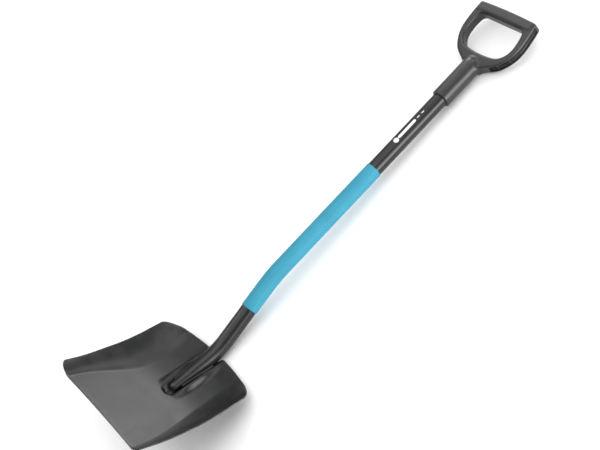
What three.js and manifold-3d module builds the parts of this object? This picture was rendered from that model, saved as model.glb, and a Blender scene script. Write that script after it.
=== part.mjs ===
// Square-mouth shovel with a bent steel tube shaft, a soft sleeve and a moulded D-grip.
// Millimetres. The shovel lies on its back: +X runs towards the grip, +Y across the blade, +Z up.
import * as THREE from 'three';
import { mergeVertices } from 'three/addons/utils/BufferGeometryUtils.js';
import Module from 'manifold-3d';

const wasm = await Module();
wasm.setup();

// Shaft: one steel tube, drawn from inside the grip to the closed toe on the blade.
const tubeRadius = 16;
const tubeWall = 1.5;
const toeRadius = 8.8;
const swageLength = 92;
const swageEasing = 0.5;
const shaftTopX = 562;
const kinkAngle = 11;
const kinkLength = 50;
const lowerLength = 124;
const sweepAngle = 24;
const sweepLength = 60;
const toeLength = 82;
const tubeSides = 24;

// Sleeve over the middle of the shaft.
const sleeveWall = 0.75;
const sleeveTopX = 288.5;
const sleeveLength = 364.5;

// Blade: a pressed steel pan. Its own frame has x from the cutting edge to the rear,
// z straight up from the flat floor.
const bladeAngle = 45;
const edgeX = -398.5;
const edgeZ = 99;
const sheetThickness = 2;
const rimHalfWidth = 139.8;
const rearNarrowing = 0.032;
const narrowingStart = 60;
const narrowingLength = 190;
const frontHalfFloor = 111;
const rearHalfFloor = 74;
const floorTaperStart = 10;
const floorTaperLength = 165;
const frontWallHeight = 19.3;
const wallGrowth = 13.5;
const wallGrowthStart = 30;
const wallGrowthLength = 130;
const creaseShare = 0.3;
const creaseSoftness = 0.1;
const wallPower = 2.1;
const rearHeight = 60;
const rearPower = 2.1;
const rearCurlStart = 110;
const wallFadePower = 5;
const rearLength = 252;
const rearBow = 9;
const rearBowAt = 92;
const cornerLength = 34;
const cornerWidth = 46;
const edgeBow = 2;
const edgeBowHalf = 120;

// Frog: two ridges with a trough between them that holds the end of the tube.
const seatGap = 0.6;
const bankAngle = 46;
const seatSlope = 32;
const seatToeX = 148;
const seatToeZ = -1.3;
const troughEnd = 152;
const troughEndSharpness = 1.4;
const ridgeHeight = 15.5;
const ridgeStart = 142;
const ridgeRise = 44;
const ridgeEnd = 252;
const ridgeFall = 60;
const ridgeHalf = 20;
const ridgeSide = 17;
const blendWidth = 4.2;

// Weld beads along both sides of the tube.
const beadRadius = 2;
const beadGap = 0.45;
const beadInset = 8;

// D-grip, one moulding with the socket.
const socketRadius = 20.3;
const socketStartX = 485;
const socketEndX = 574;
const boreGap = 0.35;
const gripTiltX = 590;
const gripTilt = 11.2;
const gripThickness = 27;
const gripSetBack = 2;
const gripRound = 5;
const barHalfHeight = 12;
const barHalfDepth = 14.5;
const barCentreX = 109.3;
const barHalfLength = 64;
const recessDepth = 5;
const recessHeight = 16;
const recessFrom = 13;
const recessTo = 112;
const gripCurveSteps = 7;

// Screw that holds the grip, let into a flat boss on the back of the socket.
const bossX = 528;
const bossRadius = 8.5;
const bossLevel = 21.2;
const screwHeadRadius = 5;
const screwShankRadius = 2.2;
const screwPlay = 0.3;
const screwSeatDepth = 2.6;
const screwTipRadius = 12;

// The whole tool is turned by this angle so that heel and socket both touch the ground.
const restAngle = 2.23;

const radians = (degrees) => (degrees * Math.PI) / 180;
const clamp01 = (value) => Math.min(Math.max(value, 0), 1);

// Runs smoothly from 0 at the start to 1 at the end of a stretch.
const ease = (value) => clamp01(value) ** 2 * (3 - 2 * clamp01(value));

const steelPaint = { color: 0x4b4d4f, roughness: 0.42, metalness: 0.35 };
const sleeveVinyl = { color: 0x2f9fc9, roughness: 0.5, metalness: 0 };
const gripPlastic = { color: 0x3a3c3f, roughness: 0.5, metalness: 0 };
const screwZinc = { color: 0x9a9da0, roughness: 0.35, metalness: 0.9 };

function makeMesh(name, geometry, look) {
  geometry.computeVertexNormals();
  const mesh = new THREE.Mesh(geometry, new THREE.MeshStandardMaterial(look));
  mesh.name = name;
  return mesh;
}

// Closed skins through rings of points.

// Joins rings of equal count into one closed body. The rings either close on
// themselves or end in a fan at both ends.
function skin(rings, closeOnItself = false) {
  const count = rings[0].length;
  const points = rings.flat();
  const faces = [];
  const last = closeOnItself ? rings.length : rings.length - 1;
  for (let i = 0; i < last; i += 1) {
    const near = i * count;
    const far = ((i + 1) % rings.length) * count;
    for (let j = 0; j < count; j += 1) {
      const next = (j + 1) % count;
      faces.push(near + j, near + next, far + next);
      faces.push(near + j, far + next, far + j);
    }
  }
  if (!closeOnItself) {
    addFan(points, faces, 0, count, true);
    addFan(points, faces, (rings.length - 1) * count, count, false);
  }
  return toGeometry(points, faces);
}

function addFan(points, faces, start, count, reversed) {
  const centre = new THREE.Vector3();
  for (let j = 0; j < count; j += 1) centre.add(points[start + j]);
  centre.divideScalar(count);
  const middle = points.length;
  points.push(centre);
  for (let j = 0; j < count; j += 1) {
    const a = start + j;
    const b = start + ((j + 1) % count);
    if (reversed) faces.push(middle, b, a);
    else faces.push(middle, a, b);
  }
}

// Builds a geometry and turns it the right way out by the sign of its volume.
function toGeometry(points, faces) {
  let volume = 0;
  for (let i = 0; i < faces.length; i += 3) {
    const a = points[faces[i]];
    const b = points[faces[i + 1]];
    const c = points[faces[i + 2]];
    volume += a.dot(new THREE.Vector3().crossVectors(b, c));
  }
  const order = volume < 0 ? faces.slice().reverse() : faces;
  const geometry = new THREE.BufferGeometry();
  const flat = points.flatMap((point) => [point.x, point.y, point.z]);
  geometry.setAttribute('position', new THREE.Float32BufferAttribute(flat, 3));
  geometry.setIndex(order);
  return geometry;
}

// Solids for joining and cutting.

function toSolid(geometry) {
  const bare = geometry.clone();
  bare.deleteAttribute('normal');
  bare.deleteAttribute('uv');
  const merged = mergeVertices(bare, 1e-4);
  const vertProperties = new Float32Array(merged.attributes.position.array);
  const triVerts = new Uint32Array(dropFlatFaces(Array.from(merged.index.array)));
  return new wasm.Manifold(new wasm.Mesh({ numProp: 3, vertProperties, triVerts }));
}

// Faces at a pole of a turned shape have two corners in one place.
function dropFlatFaces(corners) {
  return corners.filter((corner, i) => {
    const first = i - (i % 3);
    const [a, b, c] = corners.slice(first, first + 3);
    return a !== b && b !== c && c !== a;
  });
}

function fromSolid(solid) {
  const mesh = solid.getMesh();
  const geometry = new THREE.BufferGeometry();
  geometry.setAttribute('position', new THREE.BufferAttribute(mesh.vertProperties, 3));
  geometry.setIndex(new THREE.BufferAttribute(mesh.triVerts, 1));
  return geometry;
}

// Shaft.

// Centre line: sections of a length and a turn. Walks from the grip end to the toe.
const shaftSections = [
  { length: shaftTopX - kinkLength / 2, turn: 0 },
  { length: kinkLength, turn: kinkAngle },
  { length: lowerLength, turn: 0 },
  { length: sweepLength, turn: -sweepAngle },
  { length: toeLength, turn: 0 },
];
const shaftLength = shaftSections.reduce((sum, section) => sum + section.length, 0);

// Point and heading of the centre line at a distance from the grip end.
function shaftAt(distance) {
  let x = shaftTopX;
  let z = 0;
  let heading = 0;
  let left = distance;
  for (const section of shaftSections) {
    const step = Math.min(left, section.length);
    const turn = radians(section.turn) * (step / section.length);
    const chord = turn === 0 ? step : (2 * step * Math.sin(turn / 2)) / turn;
    x -= chord * Math.cos(heading + turn / 2);
    z -= chord * Math.sin(heading + turn / 2);
    heading += turn;
    left -= step;
    if (left <= 0) break;
  }
  return { x, z, heading };
}

// A ring square to the centre line.
function shaftRing(distance, radius) {
  const { x, z, heading } = shaftAt(distance);
  const ring = [];
  for (let j = 0; j < tubeSides; j += 1) {
    const angle = (j / tubeSides) * 2 * Math.PI;
    const up = radius * Math.cos(angle);
    const across = radius * Math.sin(angle);
    ring.push(new THREE.Vector3(x - up * Math.sin(heading), across, z + up * Math.cos(heading)));
  }
  return ring;
}

// Distances at which the shaft needs a ring: close together in bends, far apart on straights.
function shaftStations(from, to) {
  const stations = [from];
  let start = 0;
  for (const section of shaftSections) {
    const steps = section.turn === 0 ? 1 : 8;
    for (let i = 0; i <= steps; i += 1) {
      const distance = start + (section.length * i) / steps;
      if (distance > from + 1 && distance < to - 1) stations.push(distance);
    }
    start += section.length;
  }
  stations.push(to);
  return [...new Set(stations)];
}

// The tube keeps its diameter until the swage, where it narrows smoothly to the toe.
function radiusAt(distance) {
  const along = Math.max(0, (distance - (shaftLength - swageLength)) / swageLength);
  const eased = ease(along) * swageEasing + along * (1 - swageEasing);
  return tubeRadius + (toeRadius - tubeRadius) * eased;
}

function makeTube() {
  const domeSteps = 5;
  const stations = shaftStations(0, shaftLength - swageLength);
  for (let i = 1; i <= 10; i += 1) {
    stations.push(shaftLength - swageLength + ((swageLength - toeRadius) * i) / 10);
  }
  const outer = stations.map((distance) => shaftRing(distance, radiusAt(distance)));
  for (let i = 1; i < domeSteps; i += 1) {
    const angle = (i / domeSteps) * (Math.PI / 2);
    const distance = shaftLength - toeRadius + toeRadius * Math.sin(angle);
    outer.push(shaftRing(distance, radiusAt(shaftLength - toeRadius) * Math.cos(angle)));
  }
  const inner = stations.map((distance) => shaftRing(distance, radiusAt(distance) - tubeWall));
  return skin([...inner.reverse(), ...outer]);
}

function makeSleeve() {
  const from = shaftTopX - sleeveTopX;
  const stations = shaftStations(from, from + sleeveLength);
  const innerRadius = tubeRadius + 0.3;
  const outerRadius = innerRadius + sleeveWall;
  const outer = stations.map((distance) => shaftRing(distance, outerRadius));
  const inner = stations.map((distance) => shaftRing(distance, innerRadius));
  return skin([...outer, ...inner.reverse()], true);
}

// Blade.

const smoothMin = (a, b, width) => {
  const overlap = Math.max(width - Math.abs(a - b), 0) / width;
  return Math.min(a, b) - (overlap * overlap * width) / 4;
};
// A side wall over the way from crease to rim: a short slope at the crease, then it steepens.
function wallProfile(part) {
  const soft = (value) => Math.hypot(value, creaseSoftness) - creaseSoftness;
  return creaseShare * (soft(part) / soft(1)) + (1 - creaseShare) * part ** wallPower;
}

// The pan without the frog: flat floor, side walls that rise and steepen, rear curl.
function panHeight(x, y) {
  const taper = ease((x - floorTaperStart) / floorTaperLength);
  const halfFloor = frontHalfFloor - (frontHalfFloor - rearHalfFloor) * taper;
  const wall = frontWallHeight + wallGrowth * ease((x - wallGrowthStart) / wallGrowthLength);
  const part = Math.max(0, (Math.abs(y) - halfFloor) / (rimHalfWidth - halfFloor));
  const reach = Math.max(0, (x - rearCurlStart) / (rearLineAt(y) - rearCurlStart));
  const rear = rearHeight * reach ** rearPower;
  return rear + wall * wallProfile(part) * (1 - clamp01(reach) ** wallFadePower);
}

// The side walls draw together a little towards the rear.
const widthAt = (x) => 1 - rearNarrowing * ease((x - narrowingStart) / narrowingLength);

// Height of the tube's centre line over the floor.
const seatLine = (x) => seatToeZ + Math.tan(radians(seatSlope)) * (x - seatToeX);
const seatRadius = (x) => {
  const along = clamp01((x - seatToeX) / (swageLength * Math.cos(radians(seatSlope))));
  return toeRadius + (tubeRadius - toeRadius) * along + seatGap;
};

function bladeHeight(x, y) {
  const out = Math.hypot(y, Math.max(0, troughEnd - x) * troughEndSharpness);
  const centre = seatLine(Math.max(x, seatToeX - 2));
  const radius = seatRadius(x);
  const bank = radians(bankAngle);
  const hug = Math.min(out, radius * Math.sin(bank));
  const pipe = -Math.sqrt(radius * radius - hug * hug) + (out - hug) * Math.tan(bank);
  const trough = centre + pipe / Math.cos(radians(seatSlope));
  const length = ease((x - ridgeStart) / ridgeRise) * ease((ridgeEnd - x) / ridgeFall);
  const ridge = ridgeHeight * length * (1 - ease((out - ridgeHalf) / ridgeSide));
  return smoothMin(panHeight(x, y) + ridge, trough, blendWidth);
}

// The plan outline: a bowed rear line with rounded corners, and a nearly straight mouth.
function rearLineAt(y) {
  const within = Math.min(Math.abs(y), rimHalfWidth - cornerWidth);
  return rearLength - rearBow * (within / rearBowAt) ** 2;
}

function rearEdgeAt(y) {
  const over = clamp01((Math.abs(y) - (rimHalfWidth - cornerWidth)) / cornerWidth);
  return rearLineAt(y) - cornerLength * (1 - Math.sqrt(1 - over ** 2));
}

function bladeColumns() {
  const cornerStart = rimHalfWidth - cornerWidth;
  const half = [0, 4, 8, 12, 16, 20, 24, 28, 32, 36, 41, 47, 54, 62, 71, 80, cornerStart];
  for (let i = 1; i <= 9; i += 1) {
    half.push(cornerStart + cornerWidth * Math.sin((i / 9) * (Math.PI / 2)));
  }
  const left = half.slice(1).reverse().map((y) => -y);
  return [...left, ...half];
}

function bladeRows() {
  const rows = [0, 0.12, 0.24, 0.36, 0.46, 0.53];
  const last = rows[rows.length - 1];
  for (let i = 1; i <= 18; i += 1) rows.push(last + ((1 - last) * i) / 18);
  return rows;
}

// From the blade's own frame to the shaft's frame.
function placeOnBlade(x, y, z) {
  const angle = radians(bladeAngle);
  return new THREE.Vector3(
    edgeX + x * Math.cos(angle) + z * Math.sin(angle),
    y * widthAt(x),
    edgeZ - x * Math.sin(angle) + z * Math.cos(angle),
  );
}

function makeBlade() {
  const columns = bladeColumns();
  const step = 0.5;
  const rings = bladeRows().map((row) => {
    const top = [];
    const bottom = [];
    for (const y of columns) {
      const front = edgeBow * (1 - clamp01(Math.abs(y) / edgeBowHalf) ** 2);
      const x = front + (rearEdgeAt(y) - front) * row;
      const z = bladeHeight(x, y);
      const slopeX = (bladeHeight(x + step, y) - bladeHeight(x - step, y)) / (2 * step);
      const slopeY = (bladeHeight(x, y + step) - bladeHeight(x, y - step)) / (2 * step);
      const normal = new THREE.Vector3(-slopeX, -slopeY, 1).normalize();
      normal.multiplyScalar(sheetThickness);
      top.push(placeOnBlade(x, y, z));
      bottom.push(placeOnBlade(x - normal.x, y - normal.y, z - normal.z));
    }
    return [top, bottom];
  });
  return sheetSkin(rings);
}

// A sheet from rows of top and bottom points: two faces and the four edges between them.
function sheetSkin(rows) {
  const across = rows[0][0].length;
  const points = rows.flatMap(([top, bottom]) => [...top, ...bottom]);
  const at = (row, column, side) => (row * 2 + side) * across + column;
  const faces = [];
  const quad = (a, b, c, d) => faces.push(a, b, c, a, c, d);
  for (let i = 0; i + 1 < rows.length; i += 1) {
    for (let j = 0; j + 1 < across; j += 1) {
      quad(at(i, j, 0), at(i + 1, j, 0), at(i + 1, j + 1, 0), at(i, j + 1, 0));
      quad(at(i, j, 1), at(i, j + 1, 1), at(i + 1, j + 1, 1), at(i + 1, j, 1));
    }
    const end = across - 1;
    quad(at(i, 0, 0), at(i, 0, 1), at(i + 1, 0, 1), at(i + 1, 0, 0));
    quad(at(i, end, 0), at(i + 1, end, 0), at(i + 1, end, 1), at(i, end, 1));
  }
  const tail = rows.length - 1;
  for (let j = 0; j + 1 < across; j += 1) {
    quad(at(0, j, 0), at(0, j + 1, 0), at(0, j + 1, 1), at(0, j, 1));
    quad(at(tail, j, 0), at(tail, j, 1), at(tail, j + 1, 1), at(tail, j + 1, 0));
  }
  return toGeometry(points, faces);
}

// Weld beads.

// Each bead lies in the crevice between the tube and one bank of the trough.
function makeBead(side) {
  const rings = [];
  const stations = 14;
  const from = shaftLength - swageLength + beadInset;
  const to = shaftLength - toeRadius - beadInset;
  for (let i = 0; i <= stations; i += 1) {
    const distance = from + ((to - from) * i) / stations;
    const { x, z, heading } = shaftAt(distance);
    const radius = radiusAt(distance);
    const reach = radius + beadGap + beadRadius;
    const lean = Math.acos((radius + seatGap - beadRadius - beadGap) / reach);
    const around = radians(bankAngle) + lean;
    const up = -reach * Math.cos(around);
    const out = reach * Math.sin(around) * side;
    const size = beadRadius * (i === 0 || i === stations ? 0.6 : 1);
    const ring = [];
    for (let j = 0; j < 8; j += 1) {
      const angle = (j / 8) * 2 * Math.PI;
      const rise = up + size * Math.cos(angle);
      ring.push(new THREE.Vector3(
        x - rise * Math.sin(heading),
        out + size * Math.sin(angle),
        z + rise * Math.cos(heading),
      ));
    }
    rings.push(ring);
  }
  return skin(rings);
}

// Grip.

// Outer edge of the D, in its own plane: x from the throat to the crossbar, y across.
function gripOutline(inset) {
  const side = (y) => Math.sign(y) * (Math.abs(y) - inset);
  const path = new THREE.Path();
  path.moveTo(-16, side(-19));
  path.bezierCurveTo(-6, side(-20), 0, side(-46), 14, side(-57));
  path.bezierCurveTo(28, side(-68), 44, side(-76.5), 70, side(-76.5));
  path.bezierCurveTo(86, side(-76.5), 102, side(-74), 115, side(-70.5));
  path.quadraticCurveTo(121.5, side(-68), 121.5, side(-60));
  path.lineTo(121.5, side(60));
  path.quadraticCurveTo(121.5, side(68), 115, side(70.5));
  path.bezierCurveTo(102, side(74), 86, side(76.5), 70, side(76.5));
  path.bezierCurveTo(44, side(76.5), 28, side(68), 14, side(57));
  path.bezierCurveTo(0, side(46), -6, side(20), -16, side(19));
  return path.getPoints(gripCurveSteps);
}

// Edge of the hand opening, with the same sequence of curves as the outer edge.
function gripOpening() {
  const path = new THREE.Path();
  path.moveTo(18.5, -8);
  path.bezierCurveTo(19.5, -25, 20.5, -38, 26, -46.5);
  path.bezierCurveTo(33, -56.5, 45, -62, 60, -62);
  path.bezierCurveTo(72, -62, 82, -60.5, 89, -58);
  path.quadraticCurveTo(97, -55, 97, -46);
  path.lineTo(97, 46);
  path.quadraticCurveTo(97, 55, 89, 58);
  path.bezierCurveTo(82, 60.5, 72, 62, 60, 62);
  path.bezierCurveTo(45, 62, 33, 56.5, 26, 46.5);
  path.bezierCurveTo(20.5, 38, 19.5, 25, 18.5, 8);
  return path.getPoints(gripCurveSteps);
}

// A rounded rectangle stands between each pair of inner and outer points.
function gripLoop() {
  const outer = gripOutline(0);
  const inner = gripOpening();
  const halfThickness = gripThickness / 2;
  const rings = outer.map((out, i) => {
    const inn = inner[i];
    const width = out.distanceTo(inn);
    const radius = Math.min(gripRound, width / 2 - 0.5);
    const across = out.clone().sub(inn).normalize();
    const ring = [];
    for (let corner = 0; corner < 4; corner += 1) {
      const centreAcross = (corner === 0 || corner === 3 ? 1 : -1) * (width / 2 - radius);
      const centreUp = (corner < 2 ? 1 : -1) * (halfThickness - radius);
      for (let j = 0; j <= 2; j += 1) {
        const angle = (corner + j / 2) * (Math.PI / 2);
        const reach = width / 2 + centreAcross + radius * Math.cos(angle);
        const up = centreUp + radius * Math.sin(angle) - gripSetBack;
        ring.push(new THREE.Vector3(inn.x + across.x * reach, inn.y + across.y * reach, up));
      }
    }
    return ring;
  });
  return skin(rings, true);
}

// The channel moulded into the outer side of one arm, as the solid to cut away.
function gripRecess(side) {
  const within = (point) => point.y * side > 0 && point.x > recessFrom && point.x < recessTo;
  const inner = gripOutline(recessDepth).filter(within);
  const outer = gripOutline(-recessDepth).filter(within);
  const rings = inner.map((inn, i) => {
    const out = outer[i];
    const bottom = -gripSetBack - recessHeight / 2;
    const top = -gripSetBack + recessHeight / 2;
    return [
      new THREE.Vector3(inn.x, inn.y, bottom),
      new THREE.Vector3(out.x, out.y, bottom),
      new THREE.Vector3(out.x, out.y, top),
      new THREE.Vector3(inn.x, inn.y, top),
    ];
  });
  return skin(rings);
}

// Rounded bar across the top of the D.
function gripBar() {
  const bar = new THREE.CylinderGeometry(1, 1, 2 * barHalfLength, 20);
  bar.scale(barHalfHeight, 1, barHalfDepth);
  bar.translate(barCentreX, 0, 0);
  return bar;
}

// Socket: a turned shape with a rounded lip and an egg-shaped end inside the throat.
function gripSocket() {
  const profile = [
    [0, socketStartX],
    [socketRadius - 2.6, socketStartX],
    [socketRadius - 0.8, socketStartX + 0.8],
    [socketRadius, socketStartX + 2.8],
    [socketRadius, socketEndX],
    [socketRadius - 1.2, socketEndX + 8],
    [socketRadius - 4.5, socketEndX + 16],
    [socketRadius - 9, socketEndX + 22],
    [0, socketEndX + 26],
  ].map(([radius, x]) => new THREE.Vector2(radius, x));
  const geometry = new THREE.LatheGeometry(profile, 40);
  geometry.rotateZ(-Math.PI / 2);
  return geometry;
}

function cylinderAlongX(radius, from, to) {
  const geometry = new THREE.CylinderGeometry(radius, radius, to - from, 40);
  geometry.rotateZ(-Math.PI / 2);
  geometry.translate((from + to) / 2, 0, 0);
  return geometry;
}

function cylinderDown(radius, top, bottom, x) {
  const geometry = new THREE.CylinderGeometry(radius, radius, top - bottom, 24);
  geometry.rotateX(Math.PI / 2);
  geometry.translate(x, 0, (top + bottom) / 2);
  return geometry;
}

function makeGrip() {
  const cored = toSolid(gripLoop()).subtract(toSolid(gripRecess(1))).subtract(toSolid(gripRecess(-1)));
  const loop = cored.add(toSolid(gripBar()));
  const turned = loop.rotate([0, -gripTilt, 0]).translate([gripTiltX, 0, 0]);
  const boss = toSolid(cylinderDown(bossRadius, 0, -bossLevel, bossX));
  const bore = toSolid(cylinderAlongX(tubeRadius + boreGap, socketStartX - 5, shaftTopX + 2));
  const hole = toSolid(cylinderDown(screwShankRadius + screwPlay, 0, -bossLevel - 1, bossX));
  const seat = toSolid(cylinderDown(screwHeadRadius + screwPlay, -bossLevel + screwSeatDepth, -bossLevel - 1, bossX));
  const body = turned.add(toSolid(gripSocket())).add(boss);
  return fromSolid(body.subtract(bore).subtract(hole).subtract(seat));
}

// The screw's tip stops in the tube wall's own hole, so the tube is drilled as well.
function makeScrew() {
  const profile = [
    [0, -bossLevel + 0.2],
    [screwHeadRadius - 0.6, -bossLevel + 0.2],
    [screwHeadRadius, -bossLevel + 0.8],
    [screwHeadRadius, -bossLevel + screwSeatDepth - screwPlay],
    [screwShankRadius, -bossLevel + screwSeatDepth - screwPlay],
    [screwShankRadius, -screwTipRadius],
    [0, -screwTipRadius + 3],
  ].map(([radius, z]) => new THREE.Vector2(radius, z));
  const geometry = new THREE.LatheGeometry(profile, 24);
  geometry.rotateX(Math.PI / 2);
  geometry.translate(bossX, 0, 0);
  return geometry;
}

function drilled(tube) {
  const hole = toSolid(cylinderDown(screwShankRadius + screwPlay, 4 - tubeRadius, -4 - tubeRadius, bossX));
  return fromSolid(toSolid(tube).subtract(hole));
}

// The shovel.

const tool = new THREE.Group();
tool.add(makeMesh('blade', makeBlade(), steelPaint));
tool.add(makeMesh('shaft_tube', drilled(makeTube()), steelPaint));
tool.add(makeMesh('shaft_sleeve', makeSleeve(), sleeveVinyl));
tool.add(makeMesh('weld_bead_left', makeBead(1), steelPaint));
tool.add(makeMesh('weld_bead_right', makeBead(-1), steelPaint));
tool.add(makeMesh('d_grip', makeGrip(), gripPlastic));
tool.add(makeMesh('grip_screw', makeScrew(), screwZinc));
tool.rotation.y = radians(restAngle);

// Origin: the centre of the bounding box, on the ground.
const shovel = new THREE.Group();
shovel.add(tool);
shovel.updateMatrixWorld(true);
const box = new THREE.Box3().setFromObject(shovel, true);
const centre = box.getCenter(new THREE.Vector3());
tool.position.set(-centre.x, -centre.y, -box.min.z);

export default shovel;
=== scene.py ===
import math
import bpy
import numpy as np
from mathutils import Matrix, Vector


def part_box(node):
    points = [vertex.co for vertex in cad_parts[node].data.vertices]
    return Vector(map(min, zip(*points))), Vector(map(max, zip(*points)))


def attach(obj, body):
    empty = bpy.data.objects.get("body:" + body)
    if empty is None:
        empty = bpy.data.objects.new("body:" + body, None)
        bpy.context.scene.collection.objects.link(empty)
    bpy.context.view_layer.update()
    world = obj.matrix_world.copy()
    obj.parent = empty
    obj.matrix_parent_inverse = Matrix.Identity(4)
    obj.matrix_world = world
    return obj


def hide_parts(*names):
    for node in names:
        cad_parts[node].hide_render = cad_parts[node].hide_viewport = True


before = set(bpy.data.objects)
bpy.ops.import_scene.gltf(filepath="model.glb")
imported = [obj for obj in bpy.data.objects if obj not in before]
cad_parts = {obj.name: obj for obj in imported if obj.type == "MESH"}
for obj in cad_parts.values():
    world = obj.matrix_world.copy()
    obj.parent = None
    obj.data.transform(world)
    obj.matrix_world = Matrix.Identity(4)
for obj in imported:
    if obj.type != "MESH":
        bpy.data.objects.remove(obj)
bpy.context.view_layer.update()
print("frame loaded:", ", ".join(sorted(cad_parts)))


# lengths are in millimetres along the shaft (u), across it (y) and up from it (m)
placing = {
    "restAngle": math.radians(2.23),  # the tool is turned so that heel and socket touch the floor
    "shaftTop": 562,
    "shaftRadius": 16,
    "screwRing": (532.4, 21.0),  # how far along the shaft the head's far point lies, and how far under it
}


def worldShift():
    # the top ring of the tube reaches the tube's highest X; the screw's head ring, which is square to the
    # shaft behind the socket, holds the screw's lowest Z
    turn, top, radius = placing["restAngle"], placing["shaftTop"], placing["shaftRadius"]
    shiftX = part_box("shaft_tube")[1].x * 1000 - top * math.cos(turn) - radius * math.sin(turn)
    ringX, ringM = placing["screwRing"]
    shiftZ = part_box("grip_screw")[0].z * 1000 + ringX * math.sin(turn) + ringM * math.cos(turn)
    return shiftX, shiftZ


def toWorld(points):
    # turns (u, y, m) about the Y axis by the rest angle, shifts it, and gives metres
    turn = placing["restAngle"]
    shiftX, shiftZ = worldShift()
    u, y, m = points[..., 0], points[..., 1], points[..., 2]
    x = u * math.cos(turn) + m * math.sin(turn) + shiftX
    z = m * math.cos(turn) - u * math.sin(turn) + shiftZ
    return np.stack([x, y, z], -1) / 1000


view = {
    "position": (-0.3000, -1.2930, 1.6251),
    "aim": (-0.0529, 0, 0.0856),
    "roll": math.radians(-39.73),
    "lens": 64.1,
    "farClip": 50,
}


def makeCamera():
    data = bpy.data.cameras.new("studioCamera")
    data.lens = view["lens"]
    data.clip_end = view["farClip"]
    camera = bpy.data.objects.new("studioCamera", data)
    bpy.context.scene.collection.objects.link(camera)
    position = Vector(view["position"])
    look = (Vector(view["aim"]) - position).to_track_quat("-Z", "Y").to_matrix().to_4x4()
    camera.matrix_world = Matrix.Translation(position) @ look @ Matrix.Rotation(view["roll"], 4, "Z")
    bpy.context.scene.camera = camera


makeCamera()
print("camera placed")


def makePiece(name, points, faces, body, nodes, slot, material, **attributes):
    # points in the shaft's millimetres; faces of three or four corners
    mesh = bpy.data.meshes.new(name)
    place = toWorld(points)
    triangles = np.concatenate([face[:, [0, 1, 2]] for face in faces])
    volume = np.einsum("ij,ij->", place[triangles[:, 0]],
                       np.cross(place[triangles[:, 1]], place[triangles[:, 2]]))
    corners = [face[:, ::-1] if volume < 0 else face for face in faces]
    mesh.from_pydata(place.tolist(), [], [face for group in corners for face in group.tolist()])
    mesh.shade_smooth()
    for key, values in attributes.items():
        layer = mesh.attributes.new(key, "FLOAT", "POINT")
        layer.data.foreach_set("value", np.ascontiguousarray(values, dtype=np.float32).ravel())
    mesh.materials.append(material)
    mesh.update()
    piece = bpy.data.objects.new(name, mesh)
    bpy.context.scene.collection.objects.link(piece)
    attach(piece, body)
    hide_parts(*nodes)
    print(name, "made:", len(mesh.polygons), "faces")
    return piece


def roundFaces(rows, columns, loop=False):
    # the faces of a skin whose rows close on themselves; the ends meet in a fan round points
    # rows * columns and rows * columns + 1, or with loop the last row joins the first
    index = np.arange(rows * columns).reshape(rows, columns)
    near = index if loop else index[:-1]
    far = np.roll(index, -1, 0) if loop else index[1:]
    quads = np.stack([near, np.roll(near, -1, 1), np.roll(far, -1, 1), far], -1).reshape(-1, 4)
    if loop:
        return [quads]
    first, last = index[0], index[-1]
    middle = np.full(columns, rows * columns)
    fans = [np.stack([middle, np.roll(first, -1), first], -1),
            np.stack([middle + 1, last, np.roll(last, -1)], -1)]
    return [quads, *fans]


def withPoles(rings):
    # the rings as one list of points, with the middle of the first and of the last ring added
    return np.concatenate([rings.reshape(-1, 3), rings[[0, -1]].mean(1)])


class Wire:
    # a number that travels between nodes: arithmetic on it adds Math nodes
    def __init__(self, paint, socket):
        self.paint = paint
        self.socket = socket

    def __add__(self, other):
        return self.paint.maths("ADD", self, other)

    def __sub__(self, other):
        return self.paint.maths("SUBTRACT", self, other)

    def __rsub__(self, other):
        return self.paint.maths("SUBTRACT", other, self)

    def __mul__(self, other):
        return self.paint.maths("MULTIPLY", self, other)

    def __pow__(self, other):
        return self.paint.maths("POWER", self, other)

    def __abs__(self):
        return self.paint.maths("ABSOLUTE", self)

    __radd__ = __add__
    __rmul__ = __mul__


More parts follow.
